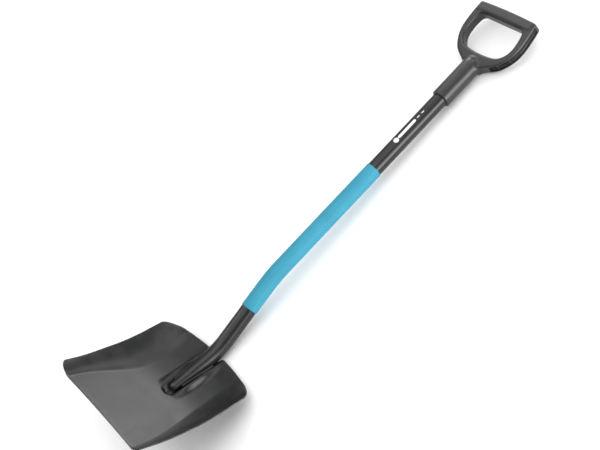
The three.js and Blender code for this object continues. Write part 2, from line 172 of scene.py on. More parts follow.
class Paint:
    # one material, its nodes and the shader that they feed
    def __init__(self, name, **fixed):
        self.material = bpy.data.materials.new(name)
        self.material.use_nodes = True
        self.tree = self.material.node_tree
        self.shader = self.tree.nodes["Principled BSDF"]
        for key, value in fixed.items():
            self.shader.inputs[key.replace("_", " ")].default_value = value

    def node(self, kind, settings=None, values=None, output=0):
        made = self.tree.nodes.new(kind)
        for key, value in (settings or {}).items():
            if key == "stops":
                self.setStops(made.color_ramp, value)
            else:
                setattr(made, key, value)
        for key, value in (values or {}).items():
            self.feed(made.inputs[key], value)
        return Wire(self, made.outputs[output])

    def setStops(self, ramp, stops):
        while len(ramp.elements) < len(stops):
            ramp.elements.new(1)
        for element, (place, level) in zip(ramp.elements, stops):
            element.position = place
            element.color = (*([level] * 3), 1) if isinstance(level, (int, float)) else (*level, 1)

    def feed(self, socket, value):
        if isinstance(value, Wire):
            self.tree.links.new(value.socket, socket)
        else:
            socket.default_value = value

    def maths(self, operation, first, second=0.0):
        return self.node("ShaderNodeMath", {"operation": operation}, {0: first, 1: second})

    def place(self):
        return self.node("ShaderNodeTexCoord", output="Object")

    def noise(self, scale, detail=3.0, rough=0.5, vector=None):
        # a cloudy pattern from 0 to 1; scale is in repeats per metre
        return self.node("ShaderNodeTexNoise", None, {
            "Vector": vector or self.place(), "Scale": scale, "Detail": detail, "Roughness": rough})

    def stretched(self, factors, turn=(0, 0, 0)):
        # Object coordinates turned and then scaled, for patterns that run along a piece
        return self.node("ShaderNodeMapping", None, {
            "Vector": self.place(), "Rotation": turn, "Scale": factors})

    def attribute(self, name):
        return self.node("ShaderNodeAttribute", {"attribute_name": name}, output="Fac")

    def curve(self, value, low, high, bottom=0.0, top=1.0):
        # carries low..high to bottom..top, smoothly, and stays there outside
        return self.node("ShaderNodeMapRange", {"interpolation_type": "SMOOTHSTEP"}, {
            "Value": value, "From Min": low, "From Max": high, "To Min": bottom, "To Max": top})

    def mix(self, amount, first, second):
        # one colour passing into another
        colours = [c if isinstance(c, Wire) else (*c, 1) for c in (first, second)]
        return self.node("ShaderNodeMix", {"data_type": "RGBA"}, {
            0: amount, 6: colours[0], 7: colours[1]}, output=2)

    def bump(self, height, distance, strength):
        # distance is the height of the relief in metres
        return self.node("ShaderNodeBump", None, {
            "Height": height, "Distance": distance, "Strength": strength})

    def finish(self, **feeds):
        for key, value in feeds.items():
            self.feed(self.shader.inputs[key.replace("_", " ")], value)
        return self.material


# coated steel: the blade, the tube and the weld; patterns are given in repeats per metre
coatLook = {
    "dark": (0.0085, 0.0087, 0.0091),
    "pale": (0.017, 0.0174, 0.0181),
    "rubbed": (0.052, 0.053, 0.054),
    "roughness": 0.29,
    "index": 1.41,
    "mottle": 34,
    "grain": 900,
    "peel": 420,
    "wornPatches": 120,
    "relief": 0.00006,
    "drawn": 60,  # the tube's faint streaks, stretched along it
    "drawnPatches": 150,
    "drawnRelief": 0.00005,
}


def makeCoat(name, mottleStrength, wearStrength, dulled):
    look = coatLook
    paint = Paint(name, IOR=look["index"])
    mottle = paint.noise(look["mottle"], 4.0, 0.6)
    cloud = paint.curve(mottle, 0.35, 0.68)
    grain = paint.noise(look["grain"], 2.0, 0.6)
    peel = paint.noise(look["peel"], 2.0, 0.5)
    edge = paint.attribute("edge")
    patchy = paint.curve(paint.noise(look["wornPatches"], 3.0, 0.6), 0.38, 0.62)
    wear = edge * patchy * wearStrength
    colour = paint.mix(cloud * mottleStrength + grain * 0.25, look["dark"], look["pale"])
    colour = paint.mix(wear, colour, look["rubbed"])
    rough = look["roughness"] + dulled + cloud * 0.05 + grain * 0.06 - wear * 0.12
    relief = paint.bump(peel * 0.7 + grain * 0.3, look["relief"], 0.5)
    return paint.finish(Base_Color=colour, Roughness=rough, Normal=relief)


# the print on the tube is a plain round dot, a bar and two dashes in white
markLook = {
    "dot": (359, 5.6),  # middle and radius
    "bar": (366, 416, 3.0),  # start, end and half width
    "dashes": ((421, 428), (434, 441)),
    "dashHalf": 0.9,
    "turn": math.radians(9),
    "soft": 0.15,
    "white": (0.72, 0.72, 0.70),
}


def makeShaftCoat():
    look = coatLook
    paint = Paint("shaftCoat", IOR=look["index"])
    turn = placing["restAngle"]
    shiftX, shiftZ = worldShift()
    place = paint.place()
    parts = {axis: paint.node("ShaderNodeSeparateXYZ", None, {0: place}, output=axis) for axis in "XYZ"}
    # back to millimetres along and up from the shaft, then how far round the tube a point lies
    x = parts["X"] * 1000 - shiftX
    z = parts["Z"] * 1000 - shiftZ
    along = x * math.cos(turn) - z * math.sin(turn)
    up = x * math.sin(turn) + z * math.cos(turn)
    angle = paint.maths("ARCTAN2", parts["Y"] * -1000, up)
    across = (angle - markLook["turn"]) * placing["shaftRadius"]

    def strip(start, end, half):
        # a strip with rounded ends: one within half its width of its middle line, nought outside
        middle, straight = (start + end) / 2, (end - start) / 2 - half
        beyond = paint.maths("MAXIMUM", abs(along - middle) - straight, 0.0)
        far = (beyond * beyond + across * across) ** 0.5
        return paint.curve(far, half - markLook["soft"], half + markLook["soft"], 1.0, 0.0)

    dotAt, dotRadius = markLook["dot"]
    marks = strip(dotAt - dotRadius, dotAt + dotRadius, dotRadius)
    marks = paint.maths("MAXIMUM", marks, strip(*markLook["bar"]))
    for start, end in markLook["dashes"]:
        marks = paint.maths("MAXIMUM", marks, strip(start, end, markLook["dashHalf"]))

    mottle = paint.noise(look["mottle"], 4.0, 0.6)
    cloud = paint.curve(mottle, 0.35, 0.68)
    drawn = paint.noise(look["drawn"], 3.0, 0.6, paint.stretched((0.12, 9, 9), (0, -turn, 0)))
    grain = paint.noise(look["grain"], 2.0, 0.6)
    edge = paint.attribute("edge")
    patchy = paint.curve(paint.noise(look["drawnPatches"], 3.0, 0.6), 0.4, 0.62)
    wear = edge * patchy * 0.6
    colour = paint.mix(cloud * 0.5 + drawn * 0.3, look["dark"], look["pale"])
    colour = paint.mix(wear, colour, look["rubbed"])
    colour = paint.mix(marks, colour, markLook["white"])
    rough = look["roughness"] - 0.04 + drawn * 0.05 + grain * 0.05 + marks * 0.1
    relief = paint.bump(drawn * 0.5 + grain * 0.3 + marks * 0.6, look["drawnRelief"], 0.5)
    return paint.finish(Base_Color=colour, Roughness=rough, Normal=relief)


bladeCoat = makeCoat("bladeCoat", 0.8, 0.7, 0)
weldCoat = makeCoat("weldCoat", 0.5, 0.15, 0.3)
shaftCoat = makeShaftCoat()
print("steel coats mixed")


# the shaft's centre line and its tube
shaft = {
    "sections": ((537, 0), (50, 11), (124, 0), (60, -24), (82, 0)),  # length and turn in degrees
    "wall": 1.5,
    "toeRadius": 8.8,
    "swage": 92,
    "rim": 0.8,
    "toeWear": 14,  # the rubbed toe starts this far from the end, and is fully rubbed this much further on
    "toeWearFade": 12,
    "sides": 96,
    "step": 3.0,
}
shaftLength = sum(length for length, turn in shaft["sections"])


def centreLine(distance):
    # walks the sections from the grip end; in a bend the step is the chord of the turned arc
    x = np.full_like(distance, placing["shaftTop"], dtype=float)
    z = np.zeros_like(x)
    heading = np.zeros_like(x)
    start = 0
    for length, degrees in shaft["sections"]:
        step = np.clip(distance - start, 0, length)
        turned = math.radians(degrees) * step / length
        chord = step * np.sinc(turned / (2 * np.pi))
        x -= chord * np.cos(heading + turned / 2)
        z -= chord * np.sin(heading + turned / 2)
        heading += turned
        start += length
    return x, z, heading


def tubeRadius(distance):
    # full size until the swage, then an eased fall to the toe's size
    along = np.clip((distance - (shaftLength - shaft["swage"])) / shaft["swage"], 0, 1)
    eased = along ** 2 * (3 - 2 * along) * 0.5 + along * 0.5
    return placing["shaftRadius"] + (shaft["toeRadius"] - placing["shaftRadius"]) * eased


def ringsAlong(distance, radius, sides):
    # rings square to the centre line: centre + radius * (cos * up + sin * across)
    x, z, heading = (values[:, None] for values in centreLine(distance))
    angle = np.linspace(0, 2 * np.pi, sides, endpoint=False)[None, :]
    up = radius[:, None] * np.cos(angle)
    across = radius[:, None] * np.sin(angle)
    return np.stack([x - up * np.sin(heading), across, z + up * np.cos(heading)], -1)


def makeTube():
    # one closed skin: up the bore from the toe, round the top rim, down the outside and over the
    # toe's dome; the rim and the dome are quarter rounds
    toe, wall, rim = shaft["toeRadius"], shaft["wall"], shaft["rim"]
    count = round((shaftLength - toe) / shaft["step"])
    outer = np.linspace(rim, shaftLength - toe, count)
    dome = np.linspace(0, np.pi / 2, 14)[1:-1]
    rimTurn = np.linspace(np.pi / 2, 0, 5)[1:]
    apart = 0.01  # keeps the last ring of the rim off the first full one
    distance = np.concatenate([rim - rim * np.sin(rimTurn + apart), outer,
                               shaftLength - toe + toe * np.sin(dome)])
    radius = np.concatenate([tubeRadius(outer[:1]) - rim * (1 - np.cos(rimTurn)),
                             tubeRadius(outer),
                             tubeRadius(outer[-1:]) * np.cos(dome)])
    bore = np.linspace(shaftLength - toe - wall, 0.0, count // 2)
    innerRadius = tubeRadius(bore) - wall
    rings = np.concatenate([ringsAlong(bore, innerRadius, shaft["sides"]),
                            ringsAlong(distance, radius, shaft["sides"])])
    along = np.concatenate([bore * 0, distance])
    edge = np.clip((along - (shaftLength - shaft["toeWear"])) / shaft["toeWearFade"], 0, 1)
    edge = np.concatenate([np.repeat(edge, shaft["sides"]), [0, 1]])
    return makePiece("tube", withPoles(rings), roundFaces(*rings.shape[:2]), "root",
                     ["shaft_tube"], "shaft_coat", shaftCoat, edge=edge)


makeTube()


# the soft sleeve over the middle of the tube
sleeve = {
    "top": 288.5, "length": 364.5, "gap": 0.3, "wall": 0.75, "round": 0.3,
    "edgeReach": 1.6, "sides": 96, "rows": 150, "innerRows": 80,
}
vinylLook = {
    "blue": (0.036, 0.262, 0.365),
    "deep": (0.030, 0.225, 0.325),
    # edge is a deeper blue for both ends of the sleeve: painted shade at the sleeve's end lips
    "edge": (0.02, 0.20, 0.36),
    "roughness": 0.55,
    "index": 1.33,
    "cloud": 28,
    "film": 70,
    "grain": 1100,
    "relief": 0.00006,
}


def makeVinyl():
    look = vinylLook
    paint = Paint("sleeveVinyl", IOR=look["index"])
    turn = placing["restAngle"]
    cloud = paint.noise(look["cloud"], 3.0, 0.5)
    film = paint.noise(look["film"], 3.0, 0.55, paint.stretched((0.2, 3, 3), (0, -turn, 0)))
    grain = paint.noise(look["grain"], 2.0, 0.6)
    edge = paint.attribute("edge")
    colour = paint.mix(paint.curve(cloud * 0.6 + film * 0.4, 0.3, 0.7), look["deep"], look["blue"])
    # both ends of the sleeve are mixed towards the deeper edge blue: painted shade at the lips
    colour = paint.mix(edge * 0.35, colour, look["edge"])
    rough = look["roughness"] + film * 0.08 + grain * 0.05
    relief = paint.bump(film * 0.5 + grain * 0.35, look["relief"], 0.5)
    return paint.finish(Base_Color=colour, Roughness=rough, Normal=relief)


def makeSleeve():
    # the section between two radii carried along the shaft, with quarter rounds at both ends
    start = placing["shaftTop"] - sleeve["top"]
    end = start + sleeve["length"]
    bend, rows, innerRows = sleeve["round"], sleeve["rows"], sleeve["innerRows"]
    inner = placing["shaftRadius"] + sleeve["gap"]
    outer = inner + sleeve["wall"]
    turn = np.linspace(0, np.pi / 2, 5)
    run = np.linspace(start + bend, end - bend, rows)[1:-1]
    distance = np.concatenate([start + bend - bend * np.cos(turn), run,
                               end - bend + bend * np.sin(turn), np.linspace(end, start, innerRows)])
    radius = np.concatenate([outer - bend + bend * np.sin(turn), np.full(len(run), outer),
                             outer - bend + bend * np.cos(turn), np.full(innerRows, inner)])
    rings = ringsAlong(distance, radius, sleeve["sides"])
    # edge is one at each end of the sleeve and fades out over edgeReach; it carries the painted shade at
    # the lips
    fromEnd = np.minimum(np.abs(distance - start), np.abs(distance - end))
    edge = np.repeat(np.clip(1 - fromEnd / sleeve["edgeReach"], 0, 1), sleeve["sides"])
    return makePiece("sleeve", rings.reshape(-1, 3), roundFaces(*rings.shape[:2], loop=True), "root",
                     ["shaft_sleeve"], "sleeve_vinyl", makeVinyl(), edge=edge)


makeSleeve()


# the pressed blade and the raised frog that takes the tube's end
blade = {
    "edgeX": -398.5, "edgeZ": 99, "angle": math.radians(45), "thickness": 2.0,
    "rimHalf": 139.8, "narrowing": 0.032, "narrowStart": 60, "narrowLength": 190,
    "frontHalf": 111, "rearHalf": 74, "taperStart": 10, "taperLength": 165,
    "frontWall": 19.3, "wallGrowth": 13.5, "growthStart": 30, "growthLength": 130,
    "creaseShare": 0.3, "creaseSoftness": 0.1, "wallPower": 2.1, "wallFade": 5,
    "rearHeight": 60, "rearPower": 2.1, "curlStart": 110, "length": 252, "bow": 9, "bowAt": 92,
    "cornerLength": 34, "cornerWidth": 46, "edgeBow": 2, "edgeBowHalf": 120, "mouthCorner": 9,
    "inset": 0.6, "rows": 170, "columns": 190, "crowdAcross": 0.06, "crowdAlong": 0.85,
    "edgeReach": 2.2, "mouthReach": 16, "mouthWear": 0.7,
}
frog = {
    "gap": 0.6, "bank": math.radians(46), "slope": math.radians(32),
    "toeX": 148, "toeZ": -1.3, "toeLead": 2, "end": 152, "endSharpness": 1.4,
    "ridge": 15.5, "ridgeStart": 142, "ridgeRise": 44, "ridgeEnd": 252, "ridgeFall": 60,
    "ridgeHalf": 20, "ridgeSide": 17, "blend": 4.2,
}


def smoothMin(a, b, width):
    # the lower of two, less a rounded fillet where they are closer than width
    overlap = np.maximum(width - np.abs(a - b), 0) / width
    return np.minimum(a, b) - overlap ** 2 * width / 4


def smoothMax(a, b, width):
    return -smoothMin(-a, -b, width)


def ease(value):
    # 3 t^2 - 2 t^3 between nought and one
    part = np.clip(value, 0, 1)
    return part ** 2 * (3 - 2 * part)


def rearLine(y):
    # the rear edge bows forward with the square of the way across, up to where its corners start
    within = np.minimum(np.abs(y), blade["rimHalf"] - blade["cornerWidth"])
    return blade["length"] - blade["bow"] * (within / blade["bowAt"]) ** 2


def wallProfile(part):
    # a short even slope at the crease, then a power of the way to the rim
    soft = blade["creaseSoftness"]
    rise = (np.hypot(part, soft) - soft) / (math.hypot(1, soft) - soft)
    return blade["creaseShare"] * rise + (1 - blade["creaseShare"]) * part ** blade["wallPower"]


def panHeight(x, y):
    # flat floor, side walls from the crease to the rim, and a rear curl that is a power of the way
    # to the rear line; the walls fade where the curl takes over
    taper = ease((x - blade["taperStart"]) / blade["taperLength"])
    half = blade["frontHalf"] - (blade["frontHalf"] - blade["rearHalf"]) * taper
    grown = ease((x - blade["growthStart"]) / blade["growthLength"])
    wall = blade["frontWall"] + blade["wallGrowth"] * grown
    part = np.maximum(np.abs(y) - half, 0) / (blade["rimHalf"] - half)
    reach = np.maximum(x - blade["curlStart"], 0) / (rearLine(y) - blade["curlStart"])
    rear = blade["rearHeight"] * reach ** blade["rearPower"]
    return rear + wall * wallProfile(part) * (1 - np.clip(reach, 0, 1) ** blade["wallFade"])


def bladeHeight(x, y):
    # pan, two ridges and the trough between them: the trough is the tube's own round underside and
    # straight banks, and the lowest of the surfaces holds, with a small fillet
    out = np.hypot(y, np.maximum(frog["end"] - x, 0) * frog["endSharpness"])
    rise = math.tan(frog["slope"])
    centre = frog["toeZ"] + rise * (np.maximum(x, frog["toeX"] - frog["toeLead"]) - frog["toeX"])
    swaged = np.clip((x - frog["toeX"]) / (shaft["swage"] * math.cos(frog["slope"])), 0, 1)
    radius = shaft["toeRadius"] + (placing["shaftRadius"] - shaft["toeRadius"]) * swaged + frog["gap"]
    hug = np.minimum(out, radius * math.sin(frog["bank"]))
    pipe = -np.sqrt(radius ** 2 - hug ** 2) + (out - hug) * math.tan(frog["bank"])
    trough = centre + pipe / math.cos(frog["slope"])
    length = ease((x - frog["ridgeStart"]) / frog["ridgeRise"])
    length *= ease((frog["ridgeEnd"] - x) / frog["ridgeFall"])
    ridge = frog["ridge"] * length * (1 - ease((out - frog["ridgeHalf"]) / frog["ridgeSide"]))
    return smoothMin(panHeight(x, y) + ridge, trough, frog["blend"])


def onBlade(x, y, z):
    # from the pan's own axes to the shaft's; the walls draw together a little towards the rear
    cos, sin = math.cos(blade["angle"]), math.sin(blade["angle"])
    width = 1 - blade["narrowing"] * ease((x - blade["narrowStart"]) / blade["narrowLength"])
    return np.stack([blade["edgeX"] + x * cos + z * sin, y * width, blade["edgeZ"] - x * sin + z * cos], -1)


def around(grid):
    # the points or numbers along the grid's four sides, as one closed run
    return np.concatenate([grid[0, :-1], grid[:-1, -1], grid[-1, :0:-1], grid[:0:-1, 0]])


def makeBlade():
    # the sheet's top is the height over a grid, and its underside lies the thickness below, square to
    # it; front and rear edges are lines across the grid whose corners are quarter ellipses
    rows, columns, inset = blade["rows"], blade["columns"], blade["inset"]
    rim, corner, crowd = blade["rimHalf"] - inset, blade["cornerWidth"], blade["crowdAcross"]
    # columns crowd towards the rims, rows towards the rear
    even = np.linspace(-1, 1, columns)
    y = rim * (even * (1 + crowd) - crowd * even ** 3)
    along = np.linspace(0, 1, rows) ** blade["crowdAlong"]
    over = np.clip((np.abs(y) - (blade["rimHalf"] - corner)) / corner, 0, 1)
    front = blade["edgeBow"] * (1 - np.clip(np.abs(y) / blade["edgeBowHalf"], 0, 1) ** 2) + inset
    beside = np.clip((np.abs(y) - (blade["rimHalf"] - blade["mouthCorner"])) / blade["mouthCorner"], 0, 1)
    front = front + blade["mouthCorner"] * (1 - np.sqrt(1 - beside ** 2))
    rear = rearLine(y) - blade["cornerLength"] * (1 - np.sqrt(1 - over ** 2)) - inset
    x = front[None, :] + (rear - front)[None, :] * along[:, None]
    y = np.broadcast_to(y[None, :], x.shape)
    z = bladeHeight(x, y)
    step = 0.5
    slopeX = (bladeHeight(x + step, y) - bladeHeight(x - step, y)) / (2 * step)
    slopeY = (bladeHeight(x, y + step) - bladeHeight(x, y - step)) / (2 * step)
    normal = np.stack([-slopeX, -slopeY, np.ones_like(x)], -1)
    normal /= np.linalg.norm(normal, axis=-1, keepdims=True)
    top = np.stack([x, y, z], -1)
    bottom = top - normal * blade["thickness"]

    # the cut edge is a half round between the two faces
    index = np.arange(rows * columns).reshape(rows, columns)
    rimIndex = around(index)
    rimPoint, rimNormal = around(top), around(normal)
    tangent = np.roll(rimPoint, -1, 0) - np.roll(rimPoint, 1, 0)
    outward = np.cross(rimNormal, tangent)
    outward /= np.linalg.norm(outward, axis=1, keepdims=True)
    half = blade["thickness"] / 2
    turns = np.linspace(0, np.pi, 7)[1:-1]
    loops = [rimPoint - rimNormal * half * (1 - math.cos(turn)) + outward * inset * math.sin(turn)
             for turn in turns]
    count = len(rimIndex)
    base = 2 * rows * columns
    strip = [rimIndex, *[base + k * count + np.arange(count) for k in range(len(turns))],
             rimIndex + rows * columns]
    sides = [np.stack([a, np.roll(a, -1), np.roll(b, -1), b], -1) for a, b in zip(strip, strip[1:])]
    face = np.stack([index[:-1, :-1], index[1:, :-1], index[1:, 1:], index[:-1, 1:]], -1).reshape(-1, 4)
    faces = [face, face[:, ::-1] + rows * columns, *sides]
    points = np.concatenate([top.reshape(-1, 3), bottom.reshape(-1, 3), *loops])
    fromMouth = x - front[None, :]
    fromRim = np.minimum(np.minimum(fromMouth, rear[None, :] - x), rim - np.abs(y))
    edge = np.clip(1 - fromRim / blade["edgeReach"], 0, 1)
    mouth = np.clip(1 - fromMouth / blade["mouthReach"], 0, 1) ** 2 * blade["mouthWear"]
    edge = np.maximum(edge, mouth).ravel()
    edges = np.concatenate([edge, edge, np.ones(count * len(turns))])
    return makePiece("bladePan", onBlade(*points.T), faces, "root", ["blade"], "blade_coat", bladeCoat,
                     edge=edges)


makeBlade()


# the weld beads along both sides of the tube's end
weld = {
    "radius": 2.9, "gap": -0.35, "from": 4, "to": 9, "ripple": 2.1, "swell": 0.1, "lag": 0.5,
    "taper": 0.02, "tip": 0.15, "rubbed": 0.6, "sides": 20, "rows": 150,
}


def makeBead(name, node, side):
    # a round section carried along the crevice between tube and bank, which it fills; it swells with
    # every ripple of the weld, lags at its flanks and tapers at its ends
    start = shaftLength - shaft["swage"] + weld["from"]
    end = shaftLength - shaft["toeRadius"] - weld["to"]
    part = np.linspace(0, 1, weld["rows"])
    distance = start + (end - start) * part
    radius = tubeRadius(distance)
    reach = radius + weld["gap"] + weld["radius"]
    lean = np.arccos((radius + frog["gap"] - weld["radius"] - weld["gap"]) / reach)
    turn = frog["bank"] + lean
    wave = np.abs(np.sin(np.pi * distance / weld["ripple"]))
    past = np.clip((np.abs(part - 0.5) - 0.5) / weld["taper"] + 1, 0, 1)
    size = weld["radius"] * (1 - weld["swell"] * (1 - wave))
    size *= np.maximum(np.sqrt(1 - past ** 2), weld["tip"])
    angle = np.linspace(0, 2 * np.pi, weld["sides"], endpoint=False)
    up = (-reach * np.cos(turn))[:, None] + size[:, None] * np.cos(angle)
    out = (reach * np.sin(turn) * side)[:, None] + size[:, None] * np.sin(angle)
    lag = weld["lag"] * np.sin(angle)[None, :] ** 2 * side
    x, z, heading = centreLine(np.repeat(distance[:, None], weld["sides"], 1) + lag)
    rings = np.stack([x - up * np.sin(heading), out, z + up * np.cos(heading)], -1)
    edge = np.concatenate([np.repeat(wave * weld["rubbed"], weld["sides"]), [0, 0]])
    return makePiece(name, withPoles(rings), roundFaces(*rings.shape[:2]), "root", [node],
                     "blade_coat", weldCoat, edge=edge)


makeBead("weldLeft", "weld_bead_left", 1)
makeBead("weldRight", "weld_bead_right", -1)
print("steel parts done")


# the grip is one moulding, worked out as a field that is negative inside it
grip = {
    "pivot": 590, "tilt": math.radians(11.2), "halfThick": 13.5, "setBack": 2,
    "round": 5.2, "ringRound": 1.0,
    "socketRadius": 20.3, "socketStart": 485, "socketEnd": 574, "egg": 26, "lip": 2.6,
    "barHalf": 69, "barBow": 2.0, "barRound": 3.0, "barEndRound": 3.0, "barFillet": 2.5,
    "bore": 16.35, "boreEnd": 564, "boreRound": 0.8, "fillet": 4.5,
    "recessDepth": 5.0, "recessHalf": 8.4, "recessFrom": 1, "recessTo": 112, "recessRound": 1.0,
    "ribPitch": 27.0, "ribFoot": 1.3, "ribFlank": 0.9, "ribDepth": 3.4,
    "bossX": 528, "bossRadius": 8.5, "bossLevel": 21.2, "bossRound": 0.8, "bossFillet": 2.0,
    "headRadius": 5.3, "headDepth": 2.6, "hole": 2.5, "holeRound": 0.6,
    "low": (-109, -79, -24), "high": (124, 79, 43), "step": 0.95, "wearSpread": 1.6, "wearGain": 4,
}
gripOutline = [  # a start, then three control points for each curve of one half; the other half mirrors it
    (-16, 19), (-6, 20), (0, 46), (14, 57), (28, 68), (44, 76.5), (70, 76.5),
    (86, 76.5), (102, 75.2), (115.8, 73.4), (118, 73.1), (119.2, 72), (119.4, 69.6),
    (120.3, 47), (120.8, 22), (120.8, 0),
]
gripOpening = [
    (18.5, 0), (18.5, 4), (18.5, 6), (18.5, 8), (19.5, 25), (20.5, 38), (26, 46.5), (33, 56.5), (45, 62),
    (60, 62), (72, 62), (82, 60.5), (89, 58), (94, 56), (97, 52), (97, 46), (97, 30), (97, 15), (97, 0),
]
gripBarSection = [(101.2, -7.5), (101.2, 5.6), (104.6, 11.2), (117.8, 10.2), (117.8, -10.6), (104.6, -11.6)]


def curvePoints(control, steps=12):
    # cubic curves through every third point: (1-t)^3 a + 3(1-t)^2 t b + 3(1-t) t^2 c + t^3 d
    control = np.array(control, float)
    t = np.linspace(0, 1, steps, endpoint=False)[:, None]
    runs = [(1 - t) ** 3 * a + 3 * (1 - t) ** 2 * t * b + 3 * (1 - t) * t ** 2 * c + t ** 3 * d
            for a, b, c, d in zip(control[:-1:3], control[1::3], control[2::3], control[3::3])]
    return np.concatenate([*runs, control[-1:]])


def closed(half):
    # the half outline and its mirror image, without the points that lie on the middle line twice
    other = half[::-1] * (1, -1)
    if abs(half[-1, 1]) < 1e-6:
        other = other[1:]
    if abs(half[0, 1]) < 1e-6:
        other = other[:-1]
    return np.concatenate([half, other])


def polygonDistance(p, q, polygon):
    # signed distance to a closed outline, negative inside, and how far round it the nearest point lies:
    # the least distance to any of its sides, and inside where a ray crosses an odd number of them
    p, q = np.broadcast_arrays(p, q)
    ends = np.roll(polygon, -1, 0)
    lengths = np.hypot(*(ends - polygon).T)
    starts = np.concatenate([[0], np.cumsum(lengths)[:-1]])
    best = np.full(p.shape, 1e9)
    place = np.zeros(p.shape)
    inside = np.zeros(p.shape, bool)
    for (ax, ay), (bx, by), length, start in zip(polygon, ends, lengths, starts):
        dx, dy = bx - ax, by - ay
        t = np.clip(((p - ax) * dx + (q - ay) * dy) / length ** 2, 0, 1)
        away = np.hypot(p - ax - t * dx, q - ay - t * dy)
        nearer = away < best
        best = np.where(nearer, away, best)
        place = np.where(nearer, start + t * length, place)
        if ay != by:
            inside ^= ((ay > q) != (by > q)) & (p < dx * (q - ay) / dy + ax)
    return np.where(inside, -best, best), place


outlinePoints = closed(curvePoints(gripOutline))
openingPoints = closed(curvePoints(gripOpening))


def rounded(a, b, radius):
    # where two fields are both negative, with the edge between them rounded
    a, b = a + radius, b + radius
    return np.minimum(np.maximum(a, b), 0) + np.hypot(np.maximum(a, 0), np.maximum(b, 0)) - radius


def gripField(a, b, c):
    # a runs from throat to crossbar, b across, c through the thickness
    outer, place = polygonDistance(a, b, outlinePoints)
    opening, _ = polygonDistance(a, b, openingPoints)
    ring = smoothMax(outer, -opening, grip["ringRound"])
    through = c + grip["setBack"]
    loop = rounded(ring, np.abs(through) - grip["halfThick"], grip["round"])
    bowed = a + grip["barBow"] * (b / grip["barHalf"]) ** 2
    section, _ = polygonDistance(bowed, c, np.array(gripBarSection))
    bar = rounded(section - grip["barRound"], np.abs(b) - grip["barHalf"], grip["barEndRound"])
    loop = smoothMin(loop, bar, grip["barFillet"])

    # channels in the outer sides, crossed by ribs and a low web
    away = np.abs((place / grip["ribPitch"]) % 1 - 0.5) * grip["ribPitch"]
    rib = np.clip((grip["ribFoot"] - away) / grip["ribFlank"], 0, 1)
    web = np.clip((grip["ribFoot"] - np.abs(through)) / grip["ribFlank"], 0, 1)
    depth = grip["recessDepth"] - grip["ribDepth"] * np.maximum(rib, web)
    channel = np.maximum(-(outer + depth), np.abs(through) - grip["recessHalf"])
    channel = np.maximum(channel, np.maximum(grip["recessFrom"] - a, a - grip["recessTo"]))
    loop = smoothMax(loop, -channel, grip["recessRound"])

    # the socket with its egg-shaped end, the screw's boss, the bore and the screw's hole
    cos, sin = math.cos(grip["tilt"]), math.sin(grip["tilt"])
    u = a * cos - c * sin + grip["pivot"]
    m = a * sin + c * cos
    fromAxis = np.hypot(b, m)
    end = np.maximum(u - grip["socketEnd"], 0) * grip["socketRadius"] / grip["egg"]
    socket = rounded(np.hypot(fromAxis, end) - grip["socketRadius"], grip["socketStart"] - u, grip["lip"])
    body = smoothMin(loop, socket, grip["fillet"])
    fromBoss = np.hypot(u - grip["bossX"], b)
    boss = rounded(fromBoss - grip["bossRadius"], np.maximum(-grip["bossLevel"] - m, m), grip["bossRound"])
    body = smoothMin(body, boss, grip["bossFillet"])
    bore = np.maximum(fromAxis - grip["bore"], u - grip["boreEnd"])
    body = smoothMax(body, -bore, grip["boreRound"])
    head = np.maximum(fromBoss - grip["headRadius"], m + grip["bossLevel"] - grip["headDepth"])
    hole = np.maximum(fromBoss - grip["hole"], m)
    return smoothMax(body, -np.minimum(head, hole), grip["holeRound"])


def surfaceNet(field, low, high, step, passes=3, leap=0.4, leastSlope=0.2):
    # one point in every cell that the surface crosses, one face for every grid edge that it cuts;
    # the points are then moved along the field's slope on to the surface, a short leap in each pass
    axes = [np.arange(start, end, step) for start, end in zip(low, high)]
    values = field(axes[0][:, None, None], axes[1][None, :, None], axes[2][None, None, :])
    inside = values < 0
    cells = [slice(None, -1), slice(1, None)]
    corners = [(i, j, k) for i in (0, 1) for j in (0, 1) for k in (0, 1)]
    number = sum(inside[cells[i], cells[j], cells[k]].astype(int) for i, j, k in corners)
    mixed = (number > 0) & (number < 8)
    where = np.argwhere(mixed)
    level = np.stack([values[tuple((where + corner).T)] for corner in corners])
    total = np.zeros((len(where), 3))
    count = np.zeros((len(where), 1))
    for first, start in enumerate(corners):
        for second, end in enumerate(corners):
            if sum(np.subtract(end, start)) == 1 and min(np.subtract(end, start)) == 0:
                cut = ((level[first] < 0) != (level[second] < 0))[:, None]
                share = (level[first] / np.where(cut[:, 0], level[first] - level[second], 1))[:, None]
                total += np.where(cut, np.array(start) + share * np.subtract(end, start), 0)
                count += cut
    points = np.array(low) + (where + total / count) * step
    name = np.full(mixed.shape, -1)
    name[mixed] = np.arange(len(where))
    quads = []
    for axis in range(3):
        solid = np.moveaxis(inside, axis, 0)[:, 1:-1, 1:-1]
        label = np.moveaxis(name, axis, 0)
        change = solid[:-1] != solid[1:]
        quad = np.stack([label[:, :-1, :-1][change], label[:, 1:, :-1][change],
                         label[:, 1:, 1:][change], label[:, :-1, 1:][change]], -1)
        turned = solid[:-1][change] == (axis == 1)  # the middle axis leaves the others in swapped order
        quads.append(np.where(turned[:, None], quad[:, ::-1], quad))
    for _ in range(passes):
        here, slope = fieldSlope(field, points)
        size = np.sum(slope ** 2, 1, keepdims=True)
        move = -here[:, None] * slope / np.maximum(size, leastSlope)
        points += np.clip(move, -leap * step, leap * step)
    return points, np.concatenate(quads)


def fieldSlope(field, points, step=0.05):
    # the field and its differences over one small step along each axis
    here = field(*points.T)
    slope = [(field(*(points + step * axis).T) - here) / step for axis in np.eye(3)]
    return here, np.stack(slope, -1)


plasticLook = {
    "black": (0.011, 0.0113, 0.012),
    "grey": (0.018, 0.0184, 0.019),
    "polished": (0.035, 0.035, 0.036),
    "roughness": 0.33,
    "index": 1.5,
    "cloud": 40,
    "spark": 1300,
    "coarse": 420,
    "handledPatches": 90,
    "relief": 0.00009,
}


